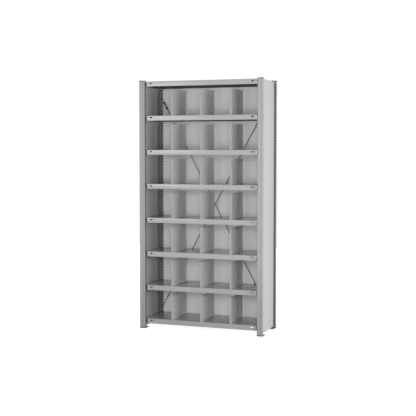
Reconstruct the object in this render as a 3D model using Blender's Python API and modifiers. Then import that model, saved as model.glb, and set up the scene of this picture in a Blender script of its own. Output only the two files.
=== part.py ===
"""A boltless steel shelving unit: four perforated T-section posts carry eight flanged shelves.

Plug-in dividers split each level into bays. Sheets close the sides and the back, and two
crossed tension rods, each with a turnbuckle, square the frame up. Metres, +Z up, front on -Y.
"""

import math

import bmesh
import bpy
from mathutils import Matrix, Vector

MM = 0.001

# Layout of the unit
POST_SPACING = 996 * MM  # between the centre lines of the left and right posts
UNIT_DEPTH = 392 * MM  # over the faces of the front and rear posts
SLOT_PITCH = 25 * MM  # between the slots of a post
FIRST_SHELF_SLOTS = 3  # pitches from the end of a post up to the lowest deck
SHELF_SLOTS = 11  # pitches from one deck to the next
SHELF_COUNT = 8
BAY_COUNT = 4  # compartments side by side on one shelf
CLEARANCE = 0.3 * MM  # between pieces that touch on the real unit

# Post, roll-formed from one sheet to a T with a hollow flange
FLANGE_WIDTH = 46 * MM
FLANGE_DEPTH = 18 * MM
FLANGE_CORNER = 2 * MM
GROOVE_WIDTH = 16 * MM
GROOVE_DEPTH = 2 * MM
POST_SHEET = 1.5 * MM
WEB_REACH = 58 * MM  # from the shoulders to the edge of the web
SLOT_WIDTH = 14 * MM
SLOT_HEIGHT = 13 * MM

# Shelf clip, hooked into a slot of the web
CLIP_SHEET = 2 * MM
CLIP_WIDTH = 22 * MM
CLIP_LEG = 20 * MM
CLIP_BEARING = 8 * MM  # how far the clip reaches under the shelf

# Foot and cap of a post
FOOT_PLATE = 3 * MM
FOOT_UPSTAND = 8 * MM
SHOE_WALL = 1.5 * MM
CAP_THICKNESS = 6.4 * MM
PLUG_LENGTH = 10 * MM
PLUG_GAP = 0.5 * MM  # between the plug and the inside of the flange

# Shelf
SHELF_SHEET = 1 * MM
RAIL_HEIGHT = 40 * MM
SHELF_LIP = 12 * MM
SHELF_RECESS = 22 * MM  # of the front rail behind the faces of the posts
CORNER_GAP = 10 * MM  # between the end of a rail and the flange of a post
NOTCH_GAP = 4 * MM  # between the notch in a shelf's corner and the edge of the web
RAIL_SLOT_LENGTH = 24 * MM
RAIL_SLOT_HEIGHT = 9 * MM
RAIL_SLOT_DROP = 15 * MM  # of the slot's middle below the deck
RAIL_SLOT_INSET = 37 * MM  # of the slot's middle from the end of the rail

# Divider
DIVIDER_SHEET = 1 * MM
DIVIDER_HEIGHT = 205 * MM
DIVIDER_FLANGE = 14 * MM
DIVIDER_INSET = 1 * MM  # from the edges of the deck

# Side and back sheets
SIDE_SHEET = 1 * MM
SIDE_TOP_DROP = 2 * MM  # of the sheets below the tops of the posts
BACK_SHEET = 1 * MM
BACK_LAP = 13 * MM  # past the centre line of a post
BACK_FOLD = 10 * MM
BACK_FOLD_GAP = 3 * MM  # between the folded edges and the flange of a post
SEAM_LEVEL = 3  # the shelf whose rear rail hides the seam, counted from 0

# Cross brace
ROD_RADIUS = 2.5 * MM
ROD_PASS = 0.6 * MM  # between the rods where they cross
ROD_SHELF_GAP = 1 * MM
BRACE_SLOTS = 4  # pitches from each end of a post to the brace's bolts
EYE_RADIUS = 9 * MM
EYE_THICKNESS = 4 * MM
BOLT_RADIUS = 3.5 * MM
BOLT_HEAD_RADIUS = 6.5 * MM
BOLT_HEAD = 4.5 * MM
NUT_THICKNESS = 5 * MM
BUCKLE_LENGTH = 65 * MM
BUCKLE_WIDTH = 16 * MM
BUCKLE_THICKNESS = 8 * MM
BUCKLE_BAR = 3.8 * MM
BUCKLE_BOSS_LENGTH = 14 * MM
BUCKLE_BOSS_RADIUS = 6 * MM
BUCKLE_FROM_BOLT = 91 * MM  # from the upper bolt to the middle of the turnbuckle
THREAD_SHOWING = 7 * MM  # of each rod inside the turnbuckle

# Places that follow from the sizes
POST_X = POST_SPACING / 2
POST_Y = UNIT_DEPTH / 2
POST_BASE = FOOT_PLATE + CLEARANCE
POST_SLOTS = FIRST_SHELF_SLOTS + (SHELF_COUNT - 1) * SHELF_SLOTS
POST_LENGTH = POST_SLOTS * SLOT_PITCH
POST_TOP = POST_BASE + POST_LENGTH
POST_DEPTH = FLANGE_DEPTH + WEB_REACH
WEB_HALF = POST_SHEET  # the web is the sheet folded back on itself
WEB_MIDDLE = FLANGE_DEPTH + WEB_REACH / 2
SHOULDER_MIDDLE = (WEB_HALF + FLANGE_WIDTH / 2) / 2
SHOULDER_Y = POST_Y - FLANGE_DEPTH
FLANGE_EDGE_X = POST_X - FLANGE_WIDTH / 2
SIDE_X = POST_X + WEB_HALF + CLEARANCE
RAIL_END_X = FLANGE_EDGE_X - CORNER_GAP
DECK_END_X = SIDE_X - CLEARANCE
NOTCH_Y = POST_Y - POST_DEPTH - NOTCH_GAP
REAR_ROD_Y = SHOULDER_Y - CLEARANCE - ROD_RADIUS
FRONT_ROD_Y = REAR_ROD_Y - 2 * ROD_RADIUS - ROD_PASS
SHELF_FRONT_Y = SHELF_RECESS - POST_Y
SHELF_REAR_Y = FRONT_ROD_Y - ROD_RADIUS - ROD_SHELF_GAP
BRACE_X = POST_X - SHOULDER_MIDDLE
BRACE_BOTTOM = POST_BASE + BRACE_SLOTS * SLOT_PITCH
BRACE_TOP = POST_TOP - BRACE_SLOTS * SLOT_PITCH
SHEET_BOTTOM = FOOT_PLATE + FOOT_UPSTAND + CLEARANCE
SHEET_TOP = POST_TOP - SIDE_TOP_DROP
OVERCUT = 1 * MM  # how far a cutter runs past the face that it opens
ROUND_SIDES = 10  # facets round a rod and its bore


def deck_top(level):
    return POST_BASE + (FIRST_SHELF_SLOTS + level * SHELF_SLOTS) * SLOT_PITCH


for leftover in list(bpy.data.objects):
    bpy.data.objects.remove(leftover, do_unlink=True)

unit = bpy.data.collections.new("shelving_unit")
cutters = bpy.data.collections.new("cutters")
for made in (unit, cutters):
    bpy.context.scene.collection.children.link(made)


# Materials

def material(name, grey, roughness, metallic):
    made = bpy.data.materials.new(name)
    made.use_nodes = True
    shader = made.node_tree.nodes["Principled BSDF"]
    shader.inputs["Base Color"].default_value = (grey, grey, grey, 1)
    shader.inputs["Roughness"].default_value = roughness
    shader.inputs["Metallic"].default_value = metallic
    made.diffuse_color = (grey, grey, grey, 1)
    return made


POST_PAINT = material("post_paint", 0.50, 0.45, 0.0)
SHELF_PAINT = material("shelf_paint", 0.56, 0.42, 0.0)
DIVIDER_PAINT = material("divider_paint", 0.54, 0.42, 0.0)
SIDE_PAINT = material("side_sheet_paint", 0.60, 0.40, 0.0)
BACK_PAINT = material("back_sheet_paint", 0.58, 0.42, 0.0)
SHOE_PLASTIC = material("foot_and_cap_plastic", 0.12, 0.55, 0.0)
ROD_STEEL = material("rod_steel", 0.16, 0.45, 0.8)
BUCKLE_STEEL = material("turnbuckle_steel", 0.14, 0.42, 0.8)
BOLT_STEEL = material("bolt_steel", 0.55, 0.30, 0.9)


# Modelling tools

def placed(name, mesh, paint, location=(0, 0, 0), turn=None):
    """Puts the mesh in the unit as a piece of its own."""
    piece = bpy.data.objects.new(name, mesh)
    unit.objects.link(piece)
    if not mesh.materials:
        mesh.materials.append(paint)
    piece.matrix_world = Matrix.Translation(location) @ (turn or Matrix.Identity(4))
    return piece


def mesh_of(name, shape):
    mesh = bpy.data.meshes.new(name)
    bmesh.ops.recalc_face_normals(shape, faces=shape.faces)
    shape.to_mesh(mesh)
    shape.free()
    return mesh


def evaluated(piece):
    """The piece's mesh with its modifiers applied; the piece itself is removed."""
    graph = bpy.context.evaluated_depsgraph_get()
    mesh = bpy.data.meshes.new_from_object(piece.evaluated_get(graph))
    bpy.data.objects.remove(piece, do_unlink=True)
    return mesh


def combine(piece, operation, mesh):
    """Cuts the mesh out of the piece, or joins it on, in the piece's own frame."""
    tool = bpy.data.objects.new(f"{piece.name}_{mesh.name}", mesh)
    cutters.objects.link(tool)
    tool.hide_render = True
    tool.display_type = "WIRE"
    tool.parent = piece
    modifier = piece.modifiers.new(mesh.name, "BOOLEAN")
    modifier.operation = operation
    modifier.solver = "EXACT"
    modifier.object = tool
    return piece


def box(shape, middle, size):
    matrix = Matrix.Translation(middle) @ Matrix.Diagonal((*size, 1))
    bmesh.ops.create_cube(shape, size=1, matrix=matrix)


def cylinder(shape, start, end, radius, sides):
    start, end = Vector(start), Vector(end)
    turn = Vector((0, 0, 1)).rotation_difference(end - start).to_matrix().to_4x4()
    bmesh.ops.create_cone(
        shape,
        cap_ends=True,
        segments=sides,
        radius1=radius,
        radius2=radius,
        depth=(end - start).length,
        matrix=Matrix.Translation((start + end) / 2) @ turn,
    )


def bore(shape, start, end, radius):
    """A cutter whose flats clear a round of this radius."""
    across = (radius + CLEARANCE) / math.cos(math.pi / ROUND_SIDES)
    cylinder(shape, start, end, across, ROUND_SIDES)


def filleted(corners, steps=2):
    """The closed outline through the corners (x, y, radius), each rounded to its radius."""
    points = []
    for index, (x, y, radius) in enumerate(corners):
        corner = Vector((x, y))
        if not radius:
            points.append(corner)
            continue
        before = (Vector(corners[index - 1][:2]) - corner).normalized()
        after = (Vector(corners[(index + 1) % len(corners)][:2]) - corner).normalized()
        half = before.angle(after) / 2
        centre = corner + (before + after).normalized() * radius / math.sin(half)
        first = corner + before * radius / math.tan(half) - centre
        turn = math.copysign(math.pi - 2 * half, before.cross(after) * -1)
        turns = [Matrix.Rotation(turn * step / steps, 2) for step in range(steps + 1)]
        points += [centre + part_turn @ first for part_turn in turns]
    return points


def prism(name, outlines, bottom, top):
    """A flat outline, with the others as holes in it, drawn up from bottom to top."""
    curve = bpy.data.curves.new(name, "CURVE")
    curve.dimensions = "2D"
    curve.fill_mode = "BOTH"
    curve.extrude = (top - bottom) / 2
    for outline in outlines:
        spline = curve.splines.new("POLY")
        spline.points.add(len(outline) - 1)
        for point, (x, y) in zip(spline.points, outline):
            point.co = (x, y, 0, 1)
        spline.use_cyclic_u = True
    guide = bpy.data.objects.new(name, curve)
    unit.objects.link(guide)
    drawn = evaluated(guide)
    shape = bmesh.new()
    shape.from_mesh(drawn)
    bmesh.ops.translate(shape, verts=shape.verts, vec=(0, 0, (top + bottom) / 2))
    bmesh.ops.remove_doubles(shape, verts=shape.verts, dist=CLEARANCE / 10)
    return mesh_of(name, shape)


def rectangle(x0, x1, y0, y1):
    return [(x0, y0), (x1, y0), (x1, y1), (x0, y1)]


def fold(shape, edges, travel):
    """Draws the edges out into a flange and gives the flange's outer edges."""
    drawn = bmesh.ops.extrude_edge_only(shape, edges=edges)["geom"]
    moved = [item for item in drawn if isinstance(item, bmesh.types.BMVert)]
    bmesh.ops.translate(shape, verts=moved, vec=travel)
    return [
        item
        for item in drawn
        if isinstance(item, bmesh.types.BMEdge) and all(end in moved for end in item.verts)
    ]


def edges_where(shape, test):
    return [edge for edge in shape.edges if all(test(end.co) for end in edge.verts)]


def near(value, other):
    return abs(value - other) < CLEARANCE / 10


def thickened(name, shape, sheet, paint, location=(0, 0, 0)):
    """A folded sheet: the open surface is its outside, and the thickness goes inward."""
    piece = placed(name, mesh_of(name, shape), paint, location)
    solidify = piece.modifiers.new("sheet", "SOLIDIFY")
    solidify.thickness = sheet
    solidify.offset = -1
    solidify.use_even_offset = True
    return piece


# Posts: the flange's face is on y = 0 and the web runs to +y

def tee(margin, radius=0):
    """The post's outline without its groove, grown by the margin."""
    flange, web = FLANGE_WIDTH / 2 + margin, WEB_HALF + margin
    front, shoulder, back = -margin, FLANGE_DEPTH + margin, POST_DEPTH + margin
    return filleted(
        [
            (-flange, front, radius),
            (flange, front, radius),
            (flange, shoulder, radius),
            (web, shoulder, 0),
            (web, back, 0),
            (-web, back, 0),
            (-web, shoulder, 0),
            (-flange, shoulder, radius),
        ]
    )


def post_section():
    """The outside of the rolled sheet, and the inside of its hollow flange."""
    flange, groove, slope = FLANGE_WIDTH / 2, GROOVE_WIDTH / 2, GROOVE_DEPTH
    outside = filleted(
        [
            (-flange, 0, FLANGE_CORNER),
            (-groove, 0, 0),
            (slope - groove, GROOVE_DEPTH, 0),
            (groove - slope, GROOVE_DEPTH, 0),
            (groove, 0, 0),
            (flange, 0, FLANGE_CORNER),
            (flange, FLANGE_DEPTH, FLANGE_CORNER),
            (WEB_HALF, FLANGE_DEPTH, 0),
            (WEB_HALF, POST_DEPTH, 0),
            (-WEB_HALF, POST_DEPTH, 0),
            (-WEB_HALF, FLANGE_DEPTH, 0),
            (-flange, FLANGE_DEPTH, FLANGE_CORNER),
        ]
    )
    side, shoulder = flange - POST_SHEET, FLANGE_DEPTH - POST_SHEET
    inside = [
        (-side, POST_SHEET),
        (-groove, POST_SHEET),
        (slope - groove, GROOVE_DEPTH + POST_SHEET),
        (groove - slope, GROOVE_DEPTH + POST_SHEET),
        (groove, POST_SHEET),
        (side, POST_SHEET),
        (side, shoulder),
        (-side, shoulder),
    ]
    return [outside, inside]


def clip_seat(level):
    """The height, above the end of a post, of the clip face that carries a shelf."""
    return deck_top(level) - POST_BASE - RAIL_HEIGHT - CLEARANCE


def hooked(number):
    """Whether a shelf clip fills this slot of the web."""
    reach = (SLOT_HEIGHT + CLIP_LEG) / 2 + OVERCUT
    middles = [clip_seat(level) - CLIP_LEG / 2 for level in range(SHELF_COUNT)]
    return any(abs(number * SLOT_PITCH - middle) < reach for middle in middles)


def slot_column(name, x, y, depth, across, numbers):
    """Cutters for slots through a sheet of this depth; across is the axis that they pass along."""
    size = (SLOT_WIDTH, depth, SLOT_HEIGHT) if across == "y" else (depth, SLOT_WIDTH, SLOT_HEIGHT)
    shape = bmesh.new()
    for number in numbers:
        box(shape, (x, y, number * SLOT_PITCH), size)
    return mesh_of(name, shape)


def clips(inner):
    """The eight clips of a post, on the side of the web that faces the shelves."""
    face, end = WEB_HALF, POST_X - (RAIL_END_X - CLIP_BEARING)
    shape = bmesh.new()
    for level in range(SHELF_COUNT):
        top = clip_seat(level)
        leg = bmesh.new()
        profile = [(0, top), (end, top), (end, top - CLIP_SHEET)]
        profile += [(face + CLIP_SHEET, top - CLIP_SHEET)]
        profile += [(face + CLIP_SHEET, top - CLIP_LEG), (0, top - CLIP_LEG)]
        drawn = prism("clip", [profile], -CLIP_WIDTH / 2, CLIP_WIDTH / 2)
        leg.from_mesh(drawn)
        bpy.data.meshes.remove(drawn)
        stand = Matrix(((inner, 0, 0, 0), (0, 0, 1, WEB_MIDDLE), (0, 1, 0, 0), (0, 0, 0, 1)))
        bmesh.ops.transform(leg, matrix=stand, verts=leg.verts)
        upright = mesh_of("clip", leg)
        shape.from_mesh(upright)
        bpy.data.meshes.remove(upright)
    return mesh_of("clips", shape)


def post(name, side, end):
    """side is -1 on the left and 1 on the right; end is -1 at the front and 1 at the rear."""
    inner = side * end
    turn = Matrix.Rotation(math.pi if end > 0 else 0, 4, "Z")
    mesh = prism(name, post_section(), 0, POST_LENGTH)
    piece = placed(name, mesh, POST_PAINT, (side * POST_X, end * POST_Y, POST_BASE), turn)
    web_slots = [number for number in range(1, POST_SLOTS) if not hooked(number)]
    through_web = 2 * (WEB_HALF + OVERCUT)
    column = slot_column("web_slots", 0, WEB_MIDDLE, through_web, "x", web_slots)
    combine(piece, "DIFFERENCE", column)
    if end > 0:
        sheet_middle = FLANGE_DEPTH - POST_SHEET / 2
        through_sheet = POST_SHEET + 2 * OVERCUT
        outer = slot_column(
            "shoulder_slots",
            -inner * SHOULDER_MIDDLE,
            sheet_middle,
            through_sheet,
            "y",
            range(1, POST_SLOTS),
        )
        bolt_slots = slot_column(
            "bolt_slots",
            inner * SHOULDER_MIDDLE,
            sheet_middle,
            through_sheet,
            "y",
            (BRACE_SLOTS, POST_SLOTS - BRACE_SLOTS),
        )
        combine(piece, "DIFFERENCE", outer)
        combine(piece, "DIFFERENCE", bolt_slots)
    combine(piece, "UNION", clips(inner))
    return piece


def cap(name, side, end):
    turn = Matrix.Rotation(math.pi if end > 0 else 0, 4, "Z")
    location = (side * POST_X, end * POST_Y, POST_TOP + CLEARANCE)
    lid = prism(name, [tee(SHOE_WALL, FLANGE_CORNER)], 0, CAP_THICKNESS)
    piece = placed(name, lid, SHOE_PLASTIC, location, turn)
    half = FLANGE_WIDTH / 2 - POST_SHEET - PLUG_GAP
    front = GROOVE_DEPTH + POST_SHEET + PLUG_GAP
    back = FLANGE_DEPTH - POST_SHEET - PLUG_GAP
    outline = rectangle(-half, half, front, back)
    combine(piece, "UNION", prism("plug", [outline], -PLUG_LENGTH, CAP_THICKNESS / 2))
    return piece


def foot(name, side, end):
    turn = Matrix.Rotation(math.pi if end > 0 else 0, 4, "Z")
    half = FLANGE_WIDTH / 2 + SHOE_WALL
    corners = rectangle(-half, half, -SHOE_WALL, POST_DEPTH + SHOE_WALL)
    plate = filleted([(x, y, FLANGE_CORNER) for x, y in corners])
    mesh = prism(name, [plate], 0, FOOT_PLATE)
    piece = placed(name, mesh, SHOE_PLASTIC, (side * POST_X, end * POST_Y, 0), turn)
    ring = [tee(SHOE_WALL), tee(CLEARANCE)]
    upstand = prism("upstand", ring, FOOT_PLATE / 2, FOOT_PLATE + FOOT_UPSTAND)
    combine(piece, "UNION", upstand)
    return piece


# Shelves: the deck's outline clears the posts' webs at its four corners

def deck_outline(inset):
    rail, end = RAIL_END_X - inset, DECK_END_X - inset
    front, rear, notch = SHELF_FRONT_Y + inset, SHELF_REAR_Y - inset, NOTCH_Y - inset
    right = [(rail, front), (rail, -notch), (end, -notch), (end, notch), (rail, notch), (rail, rear)]
    return right + [(-x, y) for x, y in reversed(right)]


def rail_slots():
    """Cutters for the slot near each end of the front rail."""
    radius = RAIL_SLOT_HEIGHT / 2
    half = RAIL_SLOT_LENGTH / 2
    corners = rectangle(-half, half, -radius, radius)
    oblong = filleted([(x, y, radius * 0.7) for x, y in corners], steps=1)
    drawn = prism("slot", [oblong], -SHELF_LIP / 2, SHELF_LIP / 2)
    shape = bmesh.new()
    for side in (-1, 1):
        middle = (side * (RAIL_END_X - RAIL_SLOT_INSET), SHELF_FRONT_Y, -RAIL_SLOT_DROP)
        new = bmesh.new()
        new.from_mesh(drawn)
        upright = Matrix.Translation(middle) @ Matrix.Rotation(math.pi / 2, 4, "X")
        bmesh.ops.transform(new, matrix=upright, verts=new.verts)
        stood = mesh_of("slot", new)
        shape.from_mesh(stood)
        bpy.data.meshes.remove(stood)
    bpy.data.meshes.remove(drawn)
    return mesh_of("rail_slots", shape)


def shelf_mesh():
    shape = bmesh.new()
    outline = deck_outline(0)
    shape.faces.new([shape.verts.new((x, y, 0)) for x, y in outline])
    skirt = fold(shape, list(shape.edges), (0, 0, -RAIL_HEIGHT))
    lip = fold(shape, skirt, (0, 0, 0))
    inner = dict(zip([(round(x, 6), round(y, 6)) for x, y in outline], deck_outline(SHELF_LIP)))
    for corner in {end for edge in lip for end in edge.verts}:
        corner.co.xy = inner[(round(corner.co.x, 6), round(corner.co.y, 6))]
    piece = thickened("shelf", shape, SHELF_SHEET, SHELF_PAINT)
    combine(piece, "DIFFERENCE", rail_slots())
    return evaluated(piece)


# Dividers: a web with its front, top and bottom edges folded to the right

def divider_mesh():
    front, rear = SHELF_FRONT_Y + DIVIDER_INSET, SHELF_REAR_Y - DIVIDER_INSET
    shape = bmesh.new()
    corners = [(front, 0), (rear, 0), (rear, DIVIDER_HEIGHT), (front, DIVIDER_HEIGHT)]
    shape.faces.new([shape.verts.new((-DIVIDER_FLANGE / 2, y, z)) for y, z in corners])
    folded = edges_where(shape, lambda point: near(point.y, front))
    folded += edges_where(shape, lambda point: near(point.z, 0))
    folded += edges_where(shape, lambda point: near(point.z, DIVIDER_HEIGHT))
    fold(shape, folded, (DIVIDER_FLANGE, 0, 0))
    return evaluated(thickened("divider", shape, DIVIDER_SHEET, DIVIDER_PAINT))


# Side and back sheets

def side_sheet(name, side):
    half = SHOULDER_Y - CLEARANCE
    shape = bmesh.new()
    middle = (side * (SIDE_X + SIDE_SHEET / 2), 0, (SHEET_BOTTOM + SHEET_TOP) / 2)
    box(shape, (0, 0, 0), (SIDE_SHEET, 2 * half, SHEET_TOP - SHEET_BOTTOM))
    return placed(name, mesh_of(name, shape), SIDE_PAINT, middle)


def back_sheet(name, bottom, top):
    """Laps the rear faces of the posts; its level edges are folded in between them."""
    lap, inner = POST_X + BACK_LAP, FLANGE_EDGE_X - BACK_FOLD_GAP
    rear = POST_Y + CLEARANCE + BACK_SHEET
    shape = bmesh.new()
    columns = [-lap, -inner, inner, lap]
    low = [shape.verts.new((x, rear, bottom)) for x in columns]
    high = [shape.verts.new((x, rear, top)) for x in columns]
    for left in range(len(columns) - 1):
        right = left + 1
        shape.faces.new([low[left], high[left], high[right], low[right]])
    central = edges_where(shape, lambda point: abs(point.x) < inner + CLEARANCE)
    level = [edge for edge in central if near(edge.verts[0].co.z, edge.verts[1].co.z)]
    fold(shape, level, (0, -BACK_FOLD, 0))
    return thickened(name, shape, BACK_SHEET, BACK_PAINT)


# Cross brace: each rod runs from a bolt high on one rear post to a bolt low on the other

def along_rod(side, y):
    """The rod's frame: origin on the upper bolt, +z down the rod, +y to the rear."""
    upper = Vector((side * BRACE_X, y, BRACE_TOP))
    lower = Vector((-side * BRACE_X, y, BRACE_BOTTOM))
    down = (lower - upper).normalized()
    rear = Vector((0, 1, 0))
    axes = Matrix((rear.cross(down), rear, down)).transposed().to_4x4()
    return Matrix.Translation(upper) @ axes, (lower - upper).length


def rod(name, frame, start, end):
    """A rod from the bolt at start to its threaded end, along the frame's z."""
    toward = 1 if end > start else -1
    shape = bmesh.new()
    past_head = start + toward * (BOLT_HEAD_RADIUS + CLEARANCE)
    cylinder(shape, (0, 0, past_head), (0, 0, end), ROD_RADIUS, ROUND_SIDES)
    local = Matrix.Translation((0, 0, -start))
    bmesh.ops.transform(shape, matrix=local, verts=shape.verts)
    piece = placed(name, mesh_of(name, shape), ROD_STEEL, turn=frame @ local.inverted())
    eye = bmesh.new()
    half = EYE_THICKNESS / 2
    cylinder(eye, (0, -half, 0), (0, half, 0), EYE_RADIUS, 12)
    combine(piece, "UNION", mesh_of("eye", eye))
    hole = bmesh.new()
    bore(hole, (0, -half - OVERCUT, 0), (0, half + OVERCUT, 0), BOLT_RADIUS)
    combine(piece, "DIFFERENCE", mesh_of("hole", hole))
    return piece


def turnbuckle(name, frame):
    """An open frame with a threaded boss at each end, its origin on the rod's axis."""
    half, corner = BUCKLE_LENGTH / 2, BUCKLE_WIDTH / 3
    outside = [(x, y, corner) for x, y in rectangle(-BUCKLE_WIDTH / 2, BUCKLE_WIDTH / 2, -half, half)]
    width = BUCKLE_WIDTH / 2 - BUCKLE_BAR
    opening = half - BUCKLE_BOSS_LENGTH
    window = [(x, y, width / 2) for x, y in rectangle(-width, width, -opening, opening)]
    flat = prism(
        name,
        [filleted(outside), filleted(window, steps=1)],
        -BUCKLE_THICKNESS / 2,
        BUCKLE_THICKNESS / 2,
    )
    upright = bmesh.new()
    upright.from_mesh(flat)
    stand = Matrix.Rotation(math.pi / 2, 4, "X")
    bmesh.ops.transform(upright, matrix=stand, verts=upright.verts)
    middle = frame @ Matrix.Translation((0, 0, BUCKLE_FROM_BOLT))
    piece = placed(name, mesh_of(name, upright), BUCKLE_STEEL, turn=middle)
    bosses = bmesh.new()
    for way in (-1, 1):
        inner_end = (0, 0, way * (opening + CLEARANCE))
        cylinder(bosses, inner_end, (0, 0, way * (half + OVERCUT)), BUCKLE_BOSS_RADIUS, 6)
    combine(piece, "UNION", mesh_of("bosses", bosses))
    threads = bmesh.new()
    reach = half + 2 * OVERCUT
    bore(threads, (0, 0, -reach), (0, 0, reach), ROD_RADIUS)
    combine(piece, "DIFFERENCE", mesh_of("threads", threads))
    return piece


def bolt(name, x, rod_y, z):
    """A hexagon bolt through the rod's eye and a slot of the post, its nut inside the flange."""
    half = EYE_THICKNESS / 2
    under_head = -half - CLEARANCE
    shoulder = SHOULDER_Y - rod_y
    nut_face = shoulder + POST_SHEET + CLEARANCE
    tip = nut_face + NUT_THICKNESS + OVERCUT
    shape = bmesh.new()
    cylinder(shape, (0, under_head - BOLT_HEAD, 0), (0, under_head, 0), BOLT_HEAD_RADIUS, 6)
    piece = placed(name, mesh_of(name, shape), BOLT_STEEL, (x, rod_y, z))
    shank = bmesh.new()
    cylinder(shank, (0, under_head - BOLT_HEAD / 2, 0), (0, tip, 0), BOLT_RADIUS, 8)
    combine(piece, "UNION", mesh_of("shank", shank))
    nut = bmesh.new()
    cylinder(nut, (0, nut_face, 0), (0, nut_face + NUT_THICKNESS, 0), BOLT_HEAD_RADIUS, 6)
    spacer = (half + CLEARANCE, shoulder - CLEARANCE)
    if spacer[1] - spacer[0] > BOLT_HEAD / 2:
        cylinder(nut, (0, spacer[0], 0), (0, spacer[1], 0), BOLT_HEAD_RADIUS, 6)
    combine(piece, "UNION", mesh_of("nut", nut))
    return piece


# Assembly

SIDES = {"left": -1, "right": 1}
ENDS = {"front": -1, "rear": 1}

for end_name, end in ENDS.items():
    for side_name, side in SIDES.items():
        post(f"post_{end_name}_{side_name}", side, end)
        cap(f"post_cap_{end_name}_{side_name}", side, end)
        foot(f"foot_plate_{end_name}_{side_name}", side, end)

shelf = shelf_mesh()
divider = divider_mesh()
divider_pitch = POST_SPACING / BAY_COUNT
for level in range(SHELF_COUNT):
    deck = deck_top(level)
    placed(f"shelf_{level + 1}", shelf, SHELF_PAINT, (0, 0, deck))
    if level == SHELF_COUNT - 1:
        continue
    for number in range(1, BAY_COUNT):
        x = (number - BAY_COUNT / 2) * divider_pitch
        placed(f"divider_{level + 1}_{number}", divider, DIVIDER_PAINT, (x, 0, deck + CLEARANCE))

for side_name, side in SIDES.items():
    side_sheet(f"side_sheet_{side_name}", side)

seam = deck_top(SEAM_LEVEL) - RAIL_HEIGHT / 2
back_sheet("back_sheet_lower", SHEET_BOTTOM, seam - CLEARANCE / 2)
back_sheet("back_sheet_upper", seam + CLEARANCE / 2, SHEET_TOP)

for brace_name, side, rod_y in (("front", -1, FRONT_ROD_Y), ("rear", 1, REAR_ROD_Y)):
    frame, length = along_rod(side, rod_y)
    inside = BUCKLE_LENGTH / 2 - BUCKLE_BOSS_LENGTH - THREAD_SHOWING
    rod(f"brace_rod_{brace_name}_upper", frame, 0, BUCKLE_FROM_BOLT - inside)
    rod(f"brace_rod_{brace_name}_lower", frame, length, BUCKLE_FROM_BOLT + inside)
    turnbuckle(f"turnbuckle_{brace_name}", frame)
    bolt(f"brace_bolt_{brace_name}_upper", side * BRACE_X, rod_y, BRACE_TOP)
    bolt(f"brace_bolt_{brace_name}_lower", -side * BRACE_X, rod_y, BRACE_BOTTOM)
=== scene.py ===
"""Visual model of a boltless steel shelving unit, with its studio and camera.

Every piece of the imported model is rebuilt: the sheet parts with rolled folds and every slot, the
brace with bent eyes, threads and forged turnbuckles. Metres, +Z up, front on -Y.
"""

import math
import bmesh
import bpy
from mathutils import Matrix, Vector


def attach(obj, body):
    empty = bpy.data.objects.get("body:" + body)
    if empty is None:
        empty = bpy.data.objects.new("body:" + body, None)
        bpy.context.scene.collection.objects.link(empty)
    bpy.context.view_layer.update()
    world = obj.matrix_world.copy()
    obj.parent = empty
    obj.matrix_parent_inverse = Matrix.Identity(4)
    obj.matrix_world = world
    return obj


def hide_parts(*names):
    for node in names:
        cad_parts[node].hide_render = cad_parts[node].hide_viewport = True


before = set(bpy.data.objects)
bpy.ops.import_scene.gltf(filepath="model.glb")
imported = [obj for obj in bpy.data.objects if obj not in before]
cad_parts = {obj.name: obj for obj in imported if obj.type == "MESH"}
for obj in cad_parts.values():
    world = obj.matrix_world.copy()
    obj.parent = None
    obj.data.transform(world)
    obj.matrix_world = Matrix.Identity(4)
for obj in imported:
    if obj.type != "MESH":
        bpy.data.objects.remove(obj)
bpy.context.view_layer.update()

MM = 0.001

# The photograph's camera
PHOTO_SIDE = 416
FOCAL_PIXELS = 915.65
CAMERA_PLACE = (2.5343, -6.9803, 1.4537)
CAMERA_YAW = math.radians(19.964)
CAMERA_PITCH = math.radians(3.115)
CAMERA_SHIFT = -0.02
SENSOR = 36

# Layout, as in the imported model
POST_SPACING = 996 * MM
UNIT_DEPTH = 392 * MM
SLOT_PITCH = 25 * MM
FIRST_SHELF_SLOTS = 3
SHELF_SLOTS = 11
SHELF_COUNT = 8
BAY_COUNT = 4
CLEARANCE = 0.3 * MM

FLANGE_WIDTH = 46 * MM
FLANGE_DEPTH = 18 * MM
FLANGE_CORNER = 2 * MM
GROOVE_WIDTH = 16 * MM
GROOVE_DEPTH = 2 * MM
POST_SHEET = 1.5 * MM
WEB_REACH = 58 * MM
SLOT_WIDTH = 14 * MM
SLOT_HEIGHT = 13 * MM
SLOT_CORNER = 3 * MM
SLOT_MARGIN = 1.5 * MM  # of plain sheet kept beside a slot

CLIP_SHEET = 2 * MM
CLIP_WIDTH = 22 * MM
CLIP_LEG = 20 * MM
CLIP_BEARING = 8 * MM  # of a clip under a rail's end
CLIP_INNER_BEND = 1.5 * MM
CLIP_OUTER_BEND = 3 * MM
CLIP_ROUNDING = 0.3 * MM

FOOT_PLATE = 3 * MM
FOOT_UPSTAND = 8 * MM
SHOE_WALL = 1.5 * MM
SHOE_ROUNDING = 0.8 * MM
CAP_THICKNESS = 6.4 * MM

SHELF_SHEET = 1 * MM
RAIL_HEIGHT = 40 * MM
SHELF_LIP = 12 * MM
SHELF_RECESS = 22 * MM
CORNER_GAP = 10 * MM
NOTCH_GAP = 4 * MM
RAIL_SLOT_LENGTH = 24 * MM
RAIL_SLOT_HEIGHT = 9 * MM
RAIL_SLOT_DROP = 15 * MM
RAIL_SLOT_INSET = 37 * MM
FOLD_RADIUS = 1.8 * MM  # outside every fold of a sheet

DIVIDER_SHEET = 1 * MM
DIVIDER_HEIGHT = 205 * MM
DIVIDER_FLANGE = 14 * MM
DIVIDER_INSET = 1 * MM

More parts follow.
